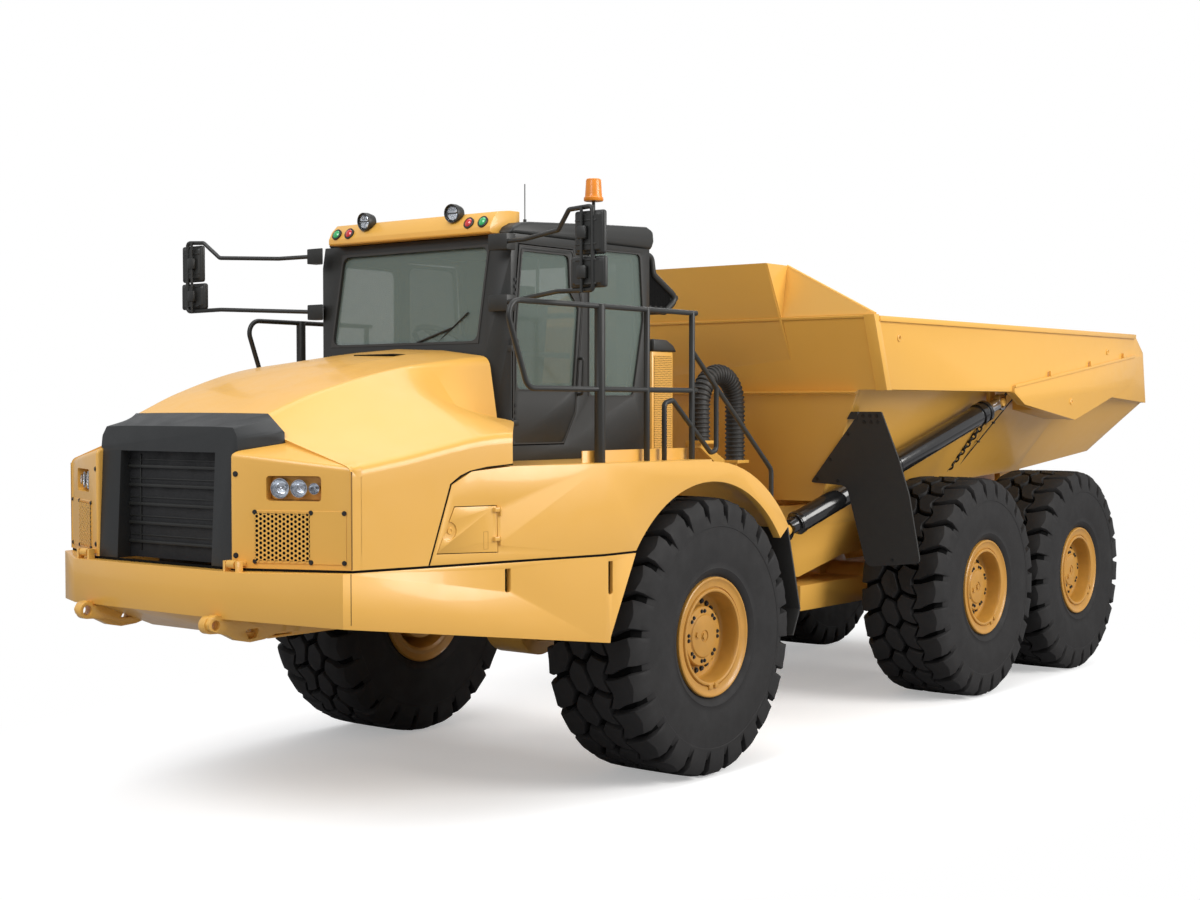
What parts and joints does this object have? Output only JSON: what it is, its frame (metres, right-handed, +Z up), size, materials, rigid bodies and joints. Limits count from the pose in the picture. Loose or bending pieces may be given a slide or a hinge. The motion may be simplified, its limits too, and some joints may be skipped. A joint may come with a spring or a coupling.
{
  "type": "articulated dump truck",
  "caption": "Articulated dump truck: cab and engine front, hitched rear frame on bogie wheels, tipping bed raised by side hoists, opening hood, door and filler flap",
  "frame": {"origin": "centre of the footprint, on the ground under the tyres", "axes": "+X forward along the longest extent, +Y to the driver's left, +Z up"},
  "size_m": [10.8899, 3.728, 4.0848],
  "materials": {
    "yellow_paint": "semi-gloss yellow enamel",
    "black_paint": "satin black enamel",
    "rim_paint": "yellow enamel",
    "tyre_rubber": "matt",
    "rubber": "matt",
    "engine_iron": "plain",
    "tinted_glass": "tinted",
    "amber_lamp": "clear moulded",
    "lamp_glass": "clear lens over bright bowls",
    "cab_trim": "grained",
    "bright_rod": "polished"
  },
  "bodies": {
    "front": {"front_frame": "yellow_paint", "front_axle": "yellow_paint", "skid_plate": "yellow_paint", "engine": "engine_iron", "bumper": "yellow_paint", "fender_right": "yellow_paint", "fender_left": "yellow_paint", "front_mudflaps": "rubber", "cab_shell": "black_paint", "cab_glass": "tinted_glass", "cab_roof": "black_paint", "roof_lamps": "amber_lamp", "rear_guard": "black_paint", "cab_interior": "cab_trim", "intake_box": "yellow_paint", "mirrors": "black_paint", "handrails": "black_paint"},
    "hood": {"hood_shell": "yellow_paint", "grille_surround": "black_paint", "grille": "black_paint", "headlamps": "lamp_glass"},
    "door": {"cab_door": "black_paint", "door_glass": "tinted_glass"},
    "filler_flap": {"filler_flap": "yellow_paint"},
    "hitch": {"hitch": "yellow_paint"},
    "rear": {"rear_frame": "yellow_paint", "rear_axles": "yellow_paint", "hose": "rubber"},
    "bed": {"bed_floor": "yellow_paint", "bed_side_left": "yellow_paint", "bed_side_right": "yellow_paint", "bed_front": "yellow_paint", "bed_mudflaps": "rubber"},
    "hoist_barrel_left": {"hoist_barrel_left": "black_paint"},
    "hoist_stage_left": {"hoist_stage_left": "bright_rod"},
    "hoist_rod_left": {"hoist_rod_left": "bright_rod"},
    "hoist_barrel_right": {"hoist_barrel_right": "black_paint"},
    "hoist_stage_right": {"hoist_stage_right": "bright_rod"},
    "hoist_rod_right": {"hoist_rod_right": "bright_rod"},
    "wheel_front_left": {"tyre_front_left": "tyre_rubber", "rim_front_left": "rim_paint"},
    "wheel_front_right": {"tyre_front_right": "tyre_rubber", "rim_front_right": "rim_paint"},
    "wheel_mid_left": {"tyre_mid_left": "tyre_rubber", "rim_mid_left": "rim_paint"},
    "wheel_mid_right": {"tyre_mid_right": "tyre_rubber", "rim_mid_right": "rim_paint"},
    "wheel_rear_left": {"tyre_rear_left": "tyre_rubber", "rim_rear_left": "rim_paint"},
    "wheel_rear_right": {"tyre_rear_right": "tyre_rubber", "rim_rear_right": "rim_paint"}
  },
  "joints": [
    {"name": "hood_tilt", "type": "hinge", "parent": "front", "child": "hood", "pos_m": [5.31, 0, 1.6], "axis": [0, 1, 0], "range_deg": [0, 60]},
    {"name": "door_swing", "type": "hinge", "parent": "front", "child": "door", "pos_m": [3.213, 0.894, 2.5], "axis": [0, 0, -1], "range_deg": [0, 58]},
    {"name": "filler_flap_swing", "type": "hinge", "parent": "front", "child": "filler_flap", "pos_m": [4.033, 1.52914, 1.75], "axis": [0, 0, 1], "range_deg": [0, 100]},
    {"name": "steer", "type": "hinge", "parent": "front", "child": "hitch", "pos_m": [0.615, 0, 1.09], "axis": [0, 0, 1], "range_deg": [-45, 45]},
    {"name": "oscillate", "type": "hinge", "parent": "hitch", "child": "rear", "pos_m": [0.175, 0, 1.09], "axis": [1, 0, 0], "range_deg": [-15, 15]},
    {"name": "bed_tip", "type": "hinge", "parent": "rear", "child": "bed", "pos_m": [-4.625, 0, 1.56], "axis": [0, -1, 0], "range_deg": [0, 70]},
    {"name": "hoist_swing_left", "type": "hinge", "parent": "rear", "child": "hoist_barrel_left", "pos_m": [0.055, 0.96, 1.51], "axis": [0.4324, 0.5587, 0.7077], "range_deg": [0, 8.16]},
    {"name": "hoist_first_stage_left", "type": "slide", "parent": "hoist_barrel_left", "child": "hoist_stage_left", "axis": [-0.9008, 0.2325, 0.3668], "range_m": [0, 1.35004]},
    {"name": "hoist_second_stage_left", "type": "slide", "parent": "hoist_stage_left", "child": "hoist_rod_left", "axis": [-0.9008, 0.2325, 0.3668], "range_m": [0, 1.35004]},
    {"name": "hoist_swing_right", "type": "hinge", "parent": "rear", "child": "hoist_barrel_right", "pos_m": [0.055, -0.96, 1.51], "axis": [-0.4324, 0.5587, -0.7077], "range_deg": [0, 8.16]},
    {"name": "hoist_first_stage_right", "type": "slide", "parent": "hoist_barrel_right", "child": "hoist_stage_right", "axis": [-0.9008, -0.2325, 0.3668], "range_m": [0, 1.35004]},
    {"name": "hoist_second_stage_right", "type": "slide", "parent": "hoist_stage_right", "child": "hoist_rod_right", "axis": [-0.9008, -0.2325, 0.3668], "range_m": [0, 1.35004]},
    {"name": "roll_front_left", "type": "hinge", "parent": "front", "child": "wheel_front_left", "pos_m": [2.075, 1.34, 0.9375], "axis": [0, 1, 0], "continuous": true},
    {"name": "roll_front_right", "type": "hinge", "parent": "front", "child": "wheel_front_right", "pos_m": [2.075, -1.34, 0.9375], "axis": [0, 1, 0], "continuous": true},
    {"name": "roll_mid_left", "type": "hinge", "parent": "rear", "child": "wheel_mid_left", "pos_m": [-2.005, 1.34, 0.9375], "axis": [0, 1, 0], "continuous": true},
    {"name": "roll_mid_right", "type": "hinge", "parent": "rear", "child": "wheel_mid_right", "pos_m": [-2.005, -1.34, 0.9375], "axis": [0, 1, 0], "continuous": true},
    {"name": "roll_rear_left", "type": "hinge", "parent": "rear", "child": "wheel_rear_left", "pos_m": [-3.971, 1.34, 0.9375], "axis": [0, 1, 0], "continuous": true},
    {"name": "roll_rear_right", "type": "hinge", "parent": "rear", "child": "wheel_rear_right", "pos_m": [-3.971, -1.34, 0.9375], "axis": [0, 1, 0], "continuous": true}
  ],
  "couplings": [
    {"joint": "hoist_swing_left", "follows": "bed_tip", "ratio": 0.11628},
    {"joint": "hoist_first_stage_left", "follows": "bed_tip", "m_per_rad": 1.1042},
    {"joint": "hoist_second_stage_left", "follows": "bed_tip", "m_per_rad": 1.1042},
    {"joint": "hoist_swing_right", "follows": "bed_tip", "ratio": 0.11628},
    {"joint": "hoist_first_stage_right", "follows": "bed_tip", "m_per_rad": 1.1042},
    {"joint": "hoist_second_stage_right", "follows": "bed_tip", "m_per_rad": 1.1042}
  ]
}
